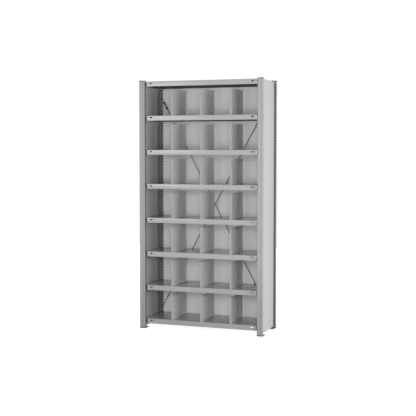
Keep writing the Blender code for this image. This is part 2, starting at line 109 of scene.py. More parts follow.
SIDE_SHEET = 1 * MM
SIDE_TOP_DROP = 2 * MM
BACK_SHEET = 1 * MM
BACK_LAP = 13 * MM
BACK_FOLD = 10 * MM
BACK_FOLD_GAP = 3 * MM
SEAM_LEVEL = 3
SCREW_RADIUS = 4.5 * MM
SCREW_HEAD = 1.8 * MM
SCREW_PROFILE = ((0, 0), (1, 0), (1, 0.35), (0.85, 0.75), (0.5, 1), (0, 1))  # of radius and head
RECESS_ARM = (4.4 * MM, 1.1 * MM, 1.6 * MM)  # length, width and height of its cutter
SCREW_ROWS = (5, 24, 43, 59, 75)  # slots of a post that a sheet is screwed to

ROD_RADIUS = 2.5 * MM
ROD_PASS = 0.6 * MM
BRACE_SLOTS = 4
EYE_RADIUS = 8.6 * MM
EYE_WIRE = 2 * MM
THREAD_PITCH = 0.8 * MM
THREAD_DEPTH = 0.35 * MM
THREADED = 42 * MM  # length of a rod's thread
THREAD_SIDES = 16
THREAD_ROWS = 6  # of points in one pitch
BOLT_RADIUS = 3.5 * MM
BOLT_HEAD_RADIUS = 6.5 * MM
BOLT_HEAD = 4.5 * MM
HEXAGON_CHAMFER = 0.9 * MM
NUT_HEIGHT = 5 * MM
BOLT_END = 6 * MM  # past the nut's seat
WASHER = 1 * MM
WASHER_STEP = 1.4 * MM
WASHER_COUNT = 3
WASHER_GAP = 3 * MM  # least gap behind an eye that washers fill
EYE_THICKNESS = 4 * MM
BUCKLE_LENGTH = 65 * MM
BUCKLE_WIDTH = 16 * MM
BUCKLE_THICKNESS = 8 * MM
BUCKLE_BAR = 3.8 * MM
BUCKLE_BOSS_LENGTH = 14 * MM
BUCKLE_BOSS_RADIUS = 6 * MM
BUCKLE_BOSS_PAST = 1 * MM  # beyond the frame's end
BUCKLE_BORE_PAST = 3 * MM
BUCKLE_FROM_BOLT = 91 * MM
BUCKLE_ROUNDING = 1.2 * MM
THREAD_SHOWING = 7 * MM

# Marks on the finishes: their sizes, and the levels of noise between which they show
PAINT_ROUGHNESS = 0.44
PAINT_SPECULAR = 0.3
CLOUD_SIZE = 180 * MM
SPECK_SIZE = 1.6 * MM
RUB_SIZE = 9 * MM
RUB_LEVELS = (0.44, 0.62)
SCUFF_SIZE = 30 * MM
SCUFF_LEVELS = (0.60, 0.72)
PEEL_SIZE = 2.2 * MM
PEEL_HEIGHT = 0.02 * MM
PLASTIC_CLOUD_SIZE = 14 * MM
PLASTIC_SCUFF_SIZE = 5 * MM
PLASTIC_SCUFF_LEVELS = (0.45, 0.65)
GRAIN_SIZE = 0.5 * MM
GRAIN_HEIGHT = 0.03 * MM
STEEL_CLOUD_SIZE = 22 * MM
STEEL_MARK_SIZE = 1.2 * MM
STEEL_MARK_LEVELS = (0.40, 0.60)
STEEL_MARK_HEIGHT = 0.03 * MM
STAIN_SIZE = 16 * MM
STAIN_LEVELS = (0.56, 0.70)
LOW_DARKENING_REACH = 0.6  # above the floor
LOW_DARKENING_UNEVENNESS = 0.3
DARK_FRONT_DEPTH = 8 * MM  # of a divider, from its front
DARKENED_GREY = 0.4  # of the paint's own grey, for painted shade and darker tones
DUST_DULLING = 0.6  # added to the roughness

# Smoothing
SHARP_FOLD = math.radians(60)
CREASE = math.radians(35)
FOLD_STEP = math.radians(14)  # least turn between two faces of a fold's crown
CROWN_FACE = 2 * MM  # widest face of a crown

# Studio
AMBIENT = 0.02
FLOOR_HALF = 6.0
FLOOR_GREY = 0.30
FLOOR_GLOW = 0.94  # under the unit, and 1 beyond its shadow
SHADOW_REACH = 3.0  # from the middle of the floor
LAMP_AIM = (0, 0, 1.0)
SOFTBOXES = (  # name, place, size, power
    ("front", (1.1, -6.4, 1.4), (4.2, 2.4), 250),
    ("left_front", (-3.25, -5.6, 1.9), (2.0, 2.0), 48),
    ("right_front", (5.7, -3.15, 1.9), (3.4, 2.0), 190),
    ("right", (6.5, 0, 1.5), (2.0, 2.0), 145),
    ("left_rear", (-6.2, 2.0, 1.9), (2.4, 2.4), 170),
    ("rear", (-1.5, 6.4, 1.9), (3.6, 2.4), 230),
)

# Places that follow from the sizes
POST_X = POST_SPACING / 2
POST_Y = UNIT_DEPTH / 2
POST_BASE = FOOT_PLATE + CLEARANCE
POST_SLOTS = FIRST_SHELF_SLOTS + (SHELF_COUNT - 1) * SHELF_SLOTS
POST_TOP = POST_BASE + POST_SLOTS * SLOT_PITCH
POST_DEPTH = FLANGE_DEPTH + WEB_REACH
WEB_HALF = POST_SHEET
WEB_MIDDLE = FLANGE_DEPTH + WEB_REACH / 2
SHOULDER_MIDDLE = (WEB_HALF + FLANGE_WIDTH / 2) / 2
SHOULDER_Y = POST_Y - FLANGE_DEPTH
FLANGE_EDGE_X = POST_X - FLANGE_WIDTH / 2
SIDE_X = POST_X + WEB_HALF + CLEARANCE
RAIL_END_X = FLANGE_EDGE_X - CORNER_GAP
DECK_END_X = SIDE_X - CLEARANCE
NOTCH_Y = POST_Y - POST_DEPTH - NOTCH_GAP
REAR_ROD_Y = SHOULDER_Y - CLEARANCE - ROD_RADIUS
FRONT_ROD_Y = REAR_ROD_Y - 2 * ROD_RADIUS - ROD_PASS
SHELF_FRONT_Y = SHELF_RECESS - POST_Y
SHELF_REAR_Y = FRONT_ROD_Y - ROD_RADIUS - MM
RAIL_SLOT_X = RAIL_END_X - RAIL_SLOT_INSET
BRACE_X = POST_X - SHOULDER_MIDDLE
BRACE_BOTTOM = POST_BASE + BRACE_SLOTS * SLOT_PITCH
BRACE_TOP = POST_TOP - BRACE_SLOTS * SLOT_PITCH
SHEET_BOTTOM = FOOT_PLATE + FOOT_UPSTAND + CLEARANCE
SHEET_TOP = POST_TOP - SIDE_TOP_DROP
DECK_TOPS = [
    POST_BASE + (FIRST_SHELF_SLOTS + level * SHELF_SLOTS) * SLOT_PITCH
    for level in range(SHELF_COUNT)
]
SIDES = {"left": -1, "right": 1}
ENDS = {"front": -1, "rear": 1}


# Finishes

class Signal:
    """A node's output. Arithmetic on it adds Math nodes."""

    def __init__(self, nodes, socket):
        self.nodes = nodes
        self.socket = socket

    def math(self, operation, first, second):
        return self.nodes.add("ShaderNodeMath", {"operation": operation}, {0: first, 1: second})

    def __add__(self, other):
        return self.math("ADD", self, other)

    def __sub__(self, other):
        return self.math("SUBTRACT", self, other)

    def __rsub__(self, other):
        return self.math("SUBTRACT", other, self)

    def __mul__(self, other):
        return self.math("MULTIPLY", self, other)

    __radd__ = __add__


class Nodes:
    """The node tree of a material or of the world."""

    def __init__(self, owner):
        owner.use_nodes = True
        self.tree = owner.node_tree

    def add(self, kind, settings=None, inputs=None, output=0):
        """One node: its settings first, then the values or links of its sockets."""
        node = self.tree.nodes.new(kind)
        for setting, value in (settings or {}).items():
            setattr(node, setting, value)
        for socket, value in (inputs or {}).items():
            self.feed(node.inputs[socket], value)
        return Signal(self, node.outputs[output])

    def feed(self, socket, value):
        if isinstance(value, Signal):
            self.tree.links.new(value.socket, socket)
        else:
            socket.default_value = value

    def mix(self, factor, first, second):
        """A colour between two greys or colours, by the node's colour sockets."""
        sockets = {0: factor, 6: self.grey(first), 7: self.grey(second)}
        return self.add("ShaderNodeMix", {"data_type": "RGBA"}, sockets, output=2)

    @staticmethod
    def grey(colour):
        return colour if isinstance(colour, Signal) else (colour, colour, colour, 1)

    def step(self, value, low, high):
        """0 below low and 1 above high, with a smooth rise between."""
        settings = {"interpolation_type": "SMOOTHSTEP", "clamp": True}
        return self.add("ShaderNodeMapRange", settings, {0: value, 1: low, 2: high})

    def place(self):
        return self.add("ShaderNodeTexCoord", output="Object")

    def along(self, axis):
        return self.add("ShaderNodeSeparateXYZ", None, {0: self.place()}, output=axis)

    def unsigned(self, value):
        return self.add("ShaderNodeMath", {"operation": "ABSOLUTE"}, {0: value})


class Finish(Nodes):
    """A material built node by node round its Principled shader."""

    def __init__(self, name, **fixed):
        self.material = bpy.data.materials.new(name)
        super().__init__(self.material)
        self.shader = self.tree.nodes["Principled BSDF"]
        for socket, value in fixed.items():
            self.shader.inputs[socket.replace("_", " ")].default_value = value

    def noise(self, size, detail, stretch=(1, 1, 1)):
        """Noise whose features are about this many metres across."""
        scale = tuple(1 / (size * along) for along in stretch)
        sockets = {0: self.place(), 1: scale}
        spread = self.add("ShaderNodeVectorMath", {"operation": "MULTIPLY"}, sockets)
        sockets = {"Vector": spread, "Scale": 1.0, "Detail": detail}
        return self.add("ShaderNodeTexNoise", None, sockets)

    def worn(self):
        """1 on the crowns of the folds, where the mesh says so."""
        return self.add("ShaderNodeAttribute", {"attribute_name": "fold_wear"}, output="Fac")

    def bump(self, height, distance):
        sockets = {"Height": height, "Distance": distance, "Strength": 1.0}
        return self.add("ShaderNodeBump", None, sockets)

    def finished(self, colour, roughness, normal):
        self.feed(self.shader.inputs["Base Color"], colour)
        self.feed(self.shader.inputs["Roughness"], roughness)
        self.feed(self.shader.inputs["Normal"], normal)
        return self.material


def near_floor(paint):
    """Darker towards the floor, unevenly."""
    uneven = (paint.noise(CLOUD_SIZE, 3) - 0.5) * LOW_DARKENING_UNEVENNESS
    return 1 - paint.step(paint.along("Z") + uneven, 0.0, LOW_DARKENING_REACH)


def on_divider_front(paint):
    """A divider's front strip, kept darker than its face, which is painted lighter to stand in for
    light from the right.
    """
    behind = SHELF_FRONT_Y + DARK_FRONT_DEPTH
    return 1 - paint.step(paint.along("Y"), behind - DARK_FRONT_DEPTH / 2, behind)


def shade_behind_post_face(paint):
    """Painted shade on the inner wall of a post's flange, its shoulders and its web, where the
    flange keeps the light off.
    """
    across = paint.unsigned(paint.along("X"))
    depth = paint.unsigned(paint.along("Y"))
    wall = paint.step(across, FLANGE_EDGE_X + CLEARANCE, FLANGE_EDGE_X + FLANGE_CORNER)
    return 1 - wall * paint.step(depth, SHOULDER_Y, SHOULDER_Y + FLANGE_CORNER)


def on_top_deck(paint):
    """The top shelf's upper face."""
    top = DECK_TOPS[-1]
    return paint.step(paint.along("Z"), top - FOLD_RADIUS, top - CLEARANCE)


def powder_coat(
    name, grey, roughness=PAINT_ROUGHNESS, specular=PAINT_SPECULAR, shade_and_darkening=(), dust=None
):
    """Baked paint: clouded, with an orange peel, rubbed bright along the folds.

    Each listed place, a mask and its amount, is painted darker; some are painted shade. The place
    in dust is dulled.
    """
    paint = Finish(name, Specular_IOR_Level=specular)
    cloud = paint.noise(CLOUD_SIZE, 3)
    speck = paint.noise(SPECK_SIZE, 1)
    rub = paint.noise(RUB_SIZE, 3, (1, 1, 2))
    handled = paint.worn() * paint.step(rub, *RUB_LEVELS)
    colour = paint.mix(cloud, grey * 0.96, grey * 1.04)
    colour = paint.mix(speck * 0.08, colour, grey * 0.80)
    colour = paint.mix(handled * 0.7, colour, min(grey * 1.3, 0.8))
    # Painted shade and darker tones, each mixed towards a darker grey of the paint
    for spread, amount in shade_and_darkening:
        colour = paint.mix(spread(paint) * amount, colour, grey * DARKENED_GREY)
    scuff = paint.step(paint.noise(SCUFF_SIZE, 4, (1, 1, 0.3)), *SCUFF_LEVELS)
    gloss = roughness - 0.04 + cloud * 0.06 + scuff * 0.04 - handled * 0.08
    if dust:
        gloss = gloss + dust(paint) * DUST_DULLING
    peel = paint.bump(paint.noise(PEEL_SIZE, 1), PEEL_HEIGHT)
    return paint.finished(colour, gloss, peel)


def moulded_plastic(name, grey):
    """Matt polymer with a fine spark-eroded grain and scuffed corners."""
    plastic = Finish(name, Specular_IOR_Level=0.4)
    cloud = plastic.noise(PLASTIC_CLOUD_SIZE, 3)
    scuff = plastic.noise(PLASTIC_SCUFF_SIZE, 3)
    scuffed = plastic.worn() * plastic.step(scuff, *PLASTIC_SCUFF_LEVELS)
    colour = plastic.mix(cloud, grey * 0.9, grey * 1.12)
    colour = plastic.mix(scuffed * 0.4, colour, grey * 1.9)
    grain = plastic.bump(plastic.noise(GRAIN_SIZE, 1), GRAIN_HEIGHT)
    return plastic.finished(colour, 0.50 + cloud * 0.12, grain)


def bare_steel(name, grey, metallic, roughness):
    """Oiled or plated steel, cloudy, with fine marks and a few dull stains."""
    steel = Finish(name, Metallic=metallic)
    cloud = steel.noise(STEEL_CLOUD_SIZE, 4)
    marks = steel.noise(STEEL_MARK_SIZE, 2)
    stain = steel.step(steel.noise(STAIN_SIZE, 4), *STAIN_LEVELS)
    bright = steel.worn() * steel.step(marks, *STEEL_MARK_LEVELS)
    colour = steel.mix(cloud, grey * 0.85, min(grey * 1.15, 0.9))
    colour = steel.mix(stain * 0.5, colour, grey * 0.6)
    colour = steel.mix(bright * 0.5, colour, min(grey * 1.8, 0.9))
    gloss = roughness + (marks - 0.5) * 0.15 + stain * 0.15
    return steel.finished(colour, gloss, steel.bump(marks, STEEL_MARK_HEIGHT))


# Posts: painted shade behind the flange's face, and darker towards the floor
POST_PAINT = powder_coat(
    "post_paint", 0.37, shade_and_darkening=[(shade_behind_post_face, 0.65), (near_floor, 0.3)]
)
SHELF_PAINT = powder_coat(
    "shelf_paint",
    0.42,
    roughness=0.16,
    specular=0.55,
    shade_and_darkening=[(near_floor, 0.35)],
    dust=on_top_deck,
)
# The dividers' grey is raised to stand in for light on their faces, and their front strip is
# painted darker: painted light and shade
DIVIDER_PAINT_AND_LIGHT = powder_coat("divider_paint", 0.69, shade_and_darkening=[(on_divider_front, 0.7)])
SIDE_PAINT = powder_coat("side_sheet_paint", 0.57)
# The side sheet's inside is a darker copy of its outside paint: painted shade
SIDE_INNER_SHADE = powder_coat("side_sheet_inner_painted_shade", 0.50)
# The back sheets' grey is raised to make up for the shade inside the compartments: partly painted
# light
BACK_PAINT_AND_LIGHT = powder_coat("back_sheet_paint", 0.69)
# Near black inside the posts, seen through the slots: painted shade
POST_INSIDE_SHADE = powder_coat("painted_shade_in_posts", 0.02)
# Dark under the shelves and inside their rails: painted shade
SHELF_UNDERSIDE_SHADE = powder_coat("painted_shade_under_shelves", 0.06)
SHOE_PLASTIC = moulded_plastic("foot_and_cap_plastic", 0.12)
CLIP_ZINC = bare_steel("clip_zinc", 0.42, metallic=0.8, roughness=0.42)
BOLT_STEEL = bare_steel("bolt_steel", 0.26, metallic=0.9, roughness=0.44)
ROD_STEEL = bare_steel("rod_steel", 0.03, metallic=0.2, roughness=0.55)
BUCKLE_STEEL = bare_steel("turnbuckle_steel", 0.06, metallic=0.4, roughness=0.50)


# Meshes

def mesh_of(name, shape):
    """The mesh of a finished bmesh."""
    mesh = bpy.data.meshes.new(name)
    shape.to_mesh(mesh)
    shape.free()
    return mesh


def applied(mesh, kind, settings):
    """The mesh with a modifier of this type and these settings applied."""
    carrier = bpy.data.objects.new(mesh.name, mesh)
    bpy.context.scene.collection.objects.link(carrier)
    modifier = carrier.modifiers.new(kind.lower(), kind)
    for setting, value in settings.items():
        setattr(modifier, setting, value)
    graph = bpy.context.evaluated_depsgraph_get()
    result = bpy.data.meshes.new_from_object(carrier.evaluated_get(graph))
    bpy.data.objects.remove(carrier, do_unlink=True)
    return result


def thick(mesh, sheet):
    """Gives a sheet's outer surface its thickness inward, and the inside a finish of its own."""
    mesh.materials.append(None)
    mesh.materials.append(None)
    settings = {"thickness": sheet, "offset": -1, "use_even_offset": True, "material_offset": 1}
    return applied(mesh, "SOLIDIFY", settings)


def combined(mesh, operation, other):
    """The mesh with the other one cut out of it or joined on."""
    tool = bpy.data.objects.new(other.name, other)
    bpy.context.scene.collection.objects.link(tool)
    settings = {"operation": operation, "solver": "EXACT", "object": tool}
    result = applied(mesh, "BOOLEAN", settings)
    bpy.data.objects.remove(tool, do_unlink=True)
    return result


def gathered(name, meshes):
    """One mesh that holds them all."""
    shape = bmesh.new()
    for mesh in meshes:
        shape.from_mesh(mesh)
    return mesh_of(name, shape)


def moved(mesh, matrix):
    copy = mesh.copy()
    copy.transform(matrix)
    if matrix.is_negative:
        copy.flip_normals()
    return copy


def longest(face):
    return max(edge.calc_length() for edge in face.edges)


def shaded(mesh):
    """Smooth but for its creases, with the crowns of its folds marked for wear."""
    mesh.shade_smooth()
    mesh.set_sharp_from_angle(angle=CREASE)
    shape = bmesh.new()
    shape.from_mesh(mesh)
    narrow = {face for face in shape.faces if face.calc_area() < CROWN_FACE * longest(face)}
    wear = []
    for point in shape.verts:
        turns = [abs(edge.calc_face_angle(0)) for edge in point.link_edges]
        folded = bool(turns) and FOLD_STEP < max(turns) < CREASE
        wear.append(float(folded and narrow.issuperset(point.link_faces)))
    shape.free()
    mesh.attributes.new("fold_wear", "FLOAT", "POINT").data.foreach_set("value", wear)
    return mesh


def piece(name, mesh, finish, nodes=(), matrix=None, body="unit", inside=None):
    """Puts a copy of the mesh in the unit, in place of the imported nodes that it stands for."""
    own = moved(mesh, matrix or Matrix.Identity(4))
    own.name = name
    while len(own.materials) < 2:
        own.materials.append(None)
    own.materials[0] = finish
    own.materials[1] = inside or finish
    made = bpy.data.objects.new(name, own)
    bpy.context.scene.collection.objects.link(made)
    if nodes:
        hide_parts(*nodes)
    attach(made, body)


def bent(corners, steps=4):
    """The path through the corners (x, y, radius), which turns through each in an arc."""
    path = []
    for index, (x, y, radius) in enumerate(corners):
        corner = Vector((x, y))
        if not radius:
            path.append(corner)
            continue
        before = (Vector(corners[index - 1][:2]) - corner).normalized()
        after = (Vector(corners[(index + 1) % len(corners)][:2]) - corner).normalized()
        half = before.angle(after) / 2
        centre = corner + (before + after).normalized() * radius / math.sin(half)
        first = corner + before * radius / math.tan(half) - centre
        turn = math.copysign(math.pi - 2 * half, before.cross(after) * -1)
        spins = [Matrix.Rotation(turn * step / steps, 2) for step in range(steps + 1)]
        path += [centre + spin @ first for spin in spins]
    return path


def boxed(x, y, radius):
    """The corners of a rectangle about the origin."""
    return [(-x, -y, radius), (x, -y, radius), (x, y, radius), (-x, y, radius)]


def slotted_face(shape, corners, width, height, radius, drop=0):
    """Fills the rectangle of the four corners with a face round a slot; drop lowers the slot."""
    along = (corners[1].co - corners[0].co).normalized()
    up = (corners[3].co - corners[0].co).normalized()
    middle = sum((corner.co for corner in corners), Vector()) / 4 - up * drop
    steps = 3
    outline = bent(boxed(width / 2, height / 2, radius), steps)
    ring = [shape.verts.new(middle + along * point.x + up * point.y) for point in outline]
    arcs = [ring[start : start + steps + 1] for start in range(0, len(ring), steps + 1)]
    for index, corner in enumerate(corners):
        following = (index + 1) % 4
        shape.faces.new([corner, *reversed(arcs[index])])
        shape.faces.new([corner, corners[following], arcs[following][0], arcs[index][-1]])


def rolled(name, path, levels, slot_middles):
    """A sheet drawn up along z from its path, in bands between the levels.

    A flat about a slot's middle has a slot in every band but the first and the last.
    """
    shape = bmesh.new()
    grid = [[shape.verts.new((x, y, z)) for z in levels] for x, y in path]
    bands = range(len(levels) - 1)
    for start, end, low, high in zip(path, path[1:], grid, grid[1:]):
        middle = (start + end) / 2
        slotted = any((middle - Vector(place)).length < CLEARANCE for place in slot_middles)
        for band in bands:
            corners = [low[band], high[band], high[band + 1], low[band + 1]]
            if slotted and band in bands[1:-1]:
                slotted_face(shape, corners, SLOT_WIDTH, SLOT_HEIGHT, SLOT_CORNER)
            else:
                shape.faces.new(corners)
    return mesh_of(name, shape)


def moulded(name, outlines, bottom, top, rounding):
    """The first outline, less the others, from bottom to top with its edges rounded."""
    curve = bpy.data.curves.new(name, "CURVE")
    curve.dimensions = "2D"
    curve.fill_mode = "BOTH"
    curve.extrude = (top - bottom) / 2 - rounding
    curve.bevel_depth = rounding
    curve.offset = -rounding
    curve.bevel_resolution = 2
    for outline in outlines:
        spline = curve.splines.new("POLY")
        spline.points.add(len(outline) - 1)
        for point, (x, y) in zip(spline.points, outline):
            point.co = (x, y, 0, 1)
        spline.use_cyclic_u = True
    guide = bpy.data.objects.new(name, curve)
    bpy.context.scene.collection.objects.link(guide)
    graph = bpy.context.evaluated_depsgraph_get()
    mesh = bpy.data.meshes.new_from_object(guide.evaluated_get(graph))
    bpy.data.objects.remove(guide, do_unlink=True)
    mesh.transform(Matrix.Translation((0, 0, (top + bottom) / 2)))
    shape = bmesh.new()
    shape.from_mesh(mesh)
    bmesh.ops.remove_doubles(shape, verts=shape.verts, dist=MM / 100)
    bmesh.ops.recalc_face_normals(shape, faces=shape.faces)
    return mesh_of(name, shape)


def walled(shape, low, high):
    """Faces between two rings of points; a ring of one point closes the other to a tip."""
    sides = max(len(low), len(high))
    for side in range(sides):
        beside = (side + 1) % sides
        corners = [low[side % len(low)], low[beside % len(low)]]
        corners += [high[beside % len(high)], high[side % len(high)]]
        shape.faces.new(dict.fromkeys(corners))


def lathed(name, profile, sides):
    """The profile (radius, height) turned round z."""
    shape = bmesh.new()
    rings = []
    for radius, height in profile:
        if radius:
            turns = [Matrix.Rotation(math.tau * side / sides, 3, "Z") for side in range(sides)]
            rings.append([shape.verts.new(turn @ Vector((radius, 0, height))) for turn in turns])
        else:
            rings.append([shape.verts.new((0, 0, height))])
    for low, high in zip(rings, rings[1:]):
        walled(shape, low, high)
    bmesh.ops.remove_doubles(shape, verts=shape.verts, dist=MM / 1000)
    bmesh.ops.recalc_face_normals(shape, faces=shape.faces)
    return mesh_of(name, shape)


def at_corner(side, end, height):
    """A post's own frame, its face on y = 0 and its web toward +y, in a corner of the unit."""
    turn = Matrix.Rotation(math.pi if end > 0 else 0, 4, "Z")
    return Matrix.Translation((side * POST_X, end * POST_Y, height)) @ turn


# Posts, clips, caps and feet

def post_mesh():
    web, flange, groove = WEB_HALF, FLANGE_WIDTH / 2, GROOVE_WIDTH / 2
    run = SLOT_WIDTH / 2 + SLOT_MARGIN
    left = [
        (-web, POST_DEPTH, 0),
        (-web, WEB_MIDDLE + run, 0),
        (-web, WEB_MIDDLE - run, 0),
        (-web, FLANGE_DEPTH, FOLD_RADIUS),
        (-SHOULDER_MIDDLE + run, FLANGE_DEPTH, 0),
        (-SHOULDER_MIDDLE - run, FLANGE_DEPTH, 0),
        (-flange, FLANGE_DEPTH, FLANGE_CORNER),
        (-flange, 0, FLANGE_CORNER),
        (-groove, 0, FOLD_RADIUS / 2),
        (GROOVE_DEPTH - groove, GROOVE_DEPTH, FOLD_RADIUS / 2),
    ]
    right = [(-x, y, radius) for x, y, radius in reversed(left)]
    path = bent(left + right)
    levels = [0] + [(number + 0.5) * SLOT_PITCH for number in range(POST_SLOTS)]
    levels += [POST_SLOTS * SLOT_PITCH]
    middles = [(side * WEB_HALF, WEB_MIDDLE) for side in (-1, 1)]
    middles += [(side * SHOULDER_MIDDLE, FLANGE_DEPTH) for side in (-1, 1)]
    return thick(rolled("post", path, levels, middles), POST_SHEET)


def clip_mesh():
    """A folded angle on the web at x = 0, its top face on z = 0, reaching toward +x."""
    reach = POST_X - (RAIL_END_X - CLIP_BEARING)
    near, far = WEB_HALF + CLEARANCE, WEB_HALF + CLIP_SHEET
    profile = [
        (far, -CLIP_LEG, 0),
        (far, -CLIP_SHEET, CLIP_INNER_BEND),
        (reach, -CLIP_SHEET, 0),
        (reach, 0, 0),
        (near, 0, CLIP_OUTER_BEND),
        (near, -CLIP_LEG, 0),
    ]
    flat = moulded("clip", [bent(profile)], -CLIP_WIDTH / 2, CLIP_WIDTH / 2, CLIP_ROUNDING)
    stand = Matrix(((1, 0, 0, 0), (0, 0, 1, WEB_MIDDLE), (0, 1, 0, 0), (0, 0, 0, 1)))
    return moved(flat, stand)


def tee(margin, radius):
    """A post's outline with a margin round it."""
    flange, web = FLANGE_WIDTH / 2 + margin, WEB_HALF + margin
    front, shoulder, back = -margin, FLANGE_DEPTH + margin, POST_DEPTH + margin
    corners = [(-flange, front, radius), (flange, front, radius), (flange, shoulder, radius)]
    corners += [(web, shoulder, 0), (web, back, 0), (-web, back, 0), (-web, shoulder, 0)]
    return bent([*corners, (-flange, shoulder, radius)])


def cap_mesh():
    outline = tee(SHOE_WALL, FLANGE_CORNER + SHOE_WALL)
    return moulded("cap", [outline], 0, CAP_THICKNESS, SHOE_ROUNDING)


def foot_mesh():
    half = FLANGE_WIDTH / 2 + SHOE_WALL
    front, back = -SHOE_WALL, POST_DEPTH + SHOE_WALL
    corners = [(-half, front), (half, front), (half, back), (-half, back)]
    plate = bent([(x, y, FLANGE_CORNER) for x, y in corners])
    upstand = [tee(SHOE_WALL, FLANGE_CORNER), tee(CLEARANCE, FLANGE_CORNER)]
    sole = moulded("sole", [plate], 0, FOOT_PLATE, SHOE_ROUNDING)
    top = FOOT_PLATE + FOOT_UPSTAND
    wall = moulded("wall", upstand, FOOT_PLATE / 2, top, SHOE_ROUNDING / 2)
    return gathered("foot", [sole, wall])


# Shelves and dividers

def deck_outline(inset):
    """The deck's corners, its front edge parted beside the slots of its rail."""
    rail, end = RAIL_END_X - inset, DECK_END_X - inset
    front, rear, notch = SHELF_FRONT_Y + inset, SHELF_REAR_Y - inset, NOTCH_Y - inset
    right = [(rail, -notch), (end, -notch), (end, notch), (rail, notch), (rail, rear)]
    outline = right + [(-x, y) for x, y in reversed(right)]
    across = [RAIL_SLOT_X + RAIL_SLOT_LENGTH, RAIL_SLOT_X - RAIL_SLOT_LENGTH]
    across = [-rail, *[-x for x in across], *reversed(across), rail]
    return outline + [(x, front) for x in across]


def folded_down(shape, edges, travel):
    """Draws the edges out into a flange; gives its outer edges and its faces."""
    drawn = bmesh.ops.extrude_edge_only(shape, edges=edges)["geom"]
    points = [item for item in drawn if isinstance(item, bmesh.types.BMVert)]
    bmesh.ops.translate(shape, verts=points, vec=travel)
    faces = [item for item in drawn if isinstance(item, bmesh.types.BMFace)]
    outer = [
        item
        for item in drawn
        if isinstance(item, bmesh.types.BMEdge) and all(end in points for end in item.verts)
    ]
    return outer, faces


def creased(shape):
    """Rounds every sharp fold of the open sheet."""
    sharp = [edge for edge in shape.edges if edge.calc_face_angle(0) > SHARP_FOLD]
    bmesh.ops.bevel(
        shape, geom=sharp, offset=FOLD_RADIUS, segments=4, profile=0.5, affect="EDGES"
    )


def spot(x, y):
    """The place to the nearest micrometre."""
    return round(x, 6), round(y, 6)


def shelf_mesh():
    """A tray: a deck on z = 0, its skirt folded down and its lip folded in."""
    shape = bmesh.new()
    outline = deck_outline(0)
    shape.faces.new([shape.verts.new((x, y, 0)) for x, y in outline])
    skirt, rails = folded_down(shape, list(shape.edges), (0, 0, -RAIL_HEIGHT))
    lip, _ = folded_down(shape, skirt, (0, 0, 0))
    inner = {spot(*place): inset for place, inset in zip(outline, deck_outline(SHELF_LIP))}
    for corner in {end for edge in lip for end in edge.verts}:
        corner.co.xy = inner[spot(*corner.co.xy)]
    bmesh.ops.recalc_face_normals(shape, faces=shape.faces)
    if shape.faces[0].normal.z < 0:
        bmesh.ops.reverse_faces(shape, faces=shape.faces)
    for face in rails:
        middle = face.calc_center_median()
        if abs(middle.y - SHELF_FRONT_Y) > MM or abs(abs(middle.x) - RAIL_SLOT_X) > MM:
            continue
        left = sorted(face.verts, key=lambda point: point.co.x)
        low_left, high_left = sorted(left[:2], key=lambda point: point.co.z)
        low_right, high_right = sorted(left[2:], key=lambda point: point.co.z)
        bmesh.ops.delete(shape, geom=[face], context="FACES_ONLY")
        slotted_face(
            shape,
            [low_left, low_right, high_right, high_left],
            RAIL_SLOT_LENGTH,
            RAIL_SLOT_HEIGHT,
            RAIL_SLOT_HEIGHT / 2 - CLEARANCE,
            RAIL_SLOT_DROP - RAIL_HEIGHT / 2,
        )
    creased(shape)
    return thick(mesh_of("shelf", shape), SHELF_SHEET)


def divider_mesh():
    """An upright sheet in the yz plane with three edges folded toward +x."""
    front, rear = SHELF_FRONT_Y + DIVIDER_INSET, SHELF_REAR_Y - DIVIDER_INSET
    shape = bmesh.new()
    corners = [(front, 0), (rear, 0), (rear, DIVIDER_HEIGHT), (front, DIVIDER_HEIGHT)]
    web = shape.faces.new([shape.verts.new((-DIVIDER_FLANGE / 2, y, z)) for y, z in corners])
    folds = [edge for edge in web.edges if any(abs(end.co.y - rear) > MM for end in edge.verts)]
    folded_down(shape, folds, (DIVIDER_FLANGE, 0, 0))
    bmesh.ops.recalc_face_normals(shape, faces=shape.faces)
    if web.normal.x > 0:
        bmesh.ops.reverse_faces(shape, faces=shape.faces)
    creased(shape)
    return thick(mesh_of("divider", shape), DIVIDER_SHEET)


# Side and back sheets, with their screws

def side_mesh(side):
    """A flat sheet, its outside away from the unit."""
    half = SHOULDER_Y - CLEARANCE
    shape = bmesh.new()
    bottom, top = SHEET_BOTTOM, SHEET_TOP
    corners = [(-half, bottom), (half, bottom), (half, top), (-half, top)]
    outside = side * (SIDE_X + SIDE_SHEET)
    face = shape.faces.new([shape.verts.new((outside, y, z)) for y, z in corners])
    face.normal_update()
    if face.normal.x * side < 0:
        face.normal_flip()
    return thick(mesh_of("side", shape), SIDE_SHEET)


def back_mesh(bottom, top):
    """A sheet that laps the posts, its ends folded forward between them."""
    lap, inner = POST_X + BACK_LAP, FLANGE_EDGE_X - BACK_FOLD_GAP
    rear = POST_Y + CLEARANCE + BACK_SHEET
    shape = bmesh.new()
    columns = [-lap, -inner, inner, lap]
    low = [shape.verts.new((x, rear, bottom)) for x in columns]
    high = [shape.verts.new((x, rear, top)) for x in columns]
    faces = [shape.faces.new([low[k], high[k], high[k + 1], low[k + 1]]) for k in range(3)]
    middle = faces[1]
    ends = [edge for edge in middle.edges if abs(edge.verts[0].co.z - edge.verts[1].co.z) < MM]
    folded_down(shape, ends, (0, -BACK_FOLD, 0))
    bmesh.ops.recalc_face_normals(shape, faces=shape.faces)
    if middle.normal.y < 0:
        bmesh.ops.reverse_faces(shape, faces=shape.faces)
    creased(shape)
    return thick(mesh_of("back", shape), BACK_SHEET)


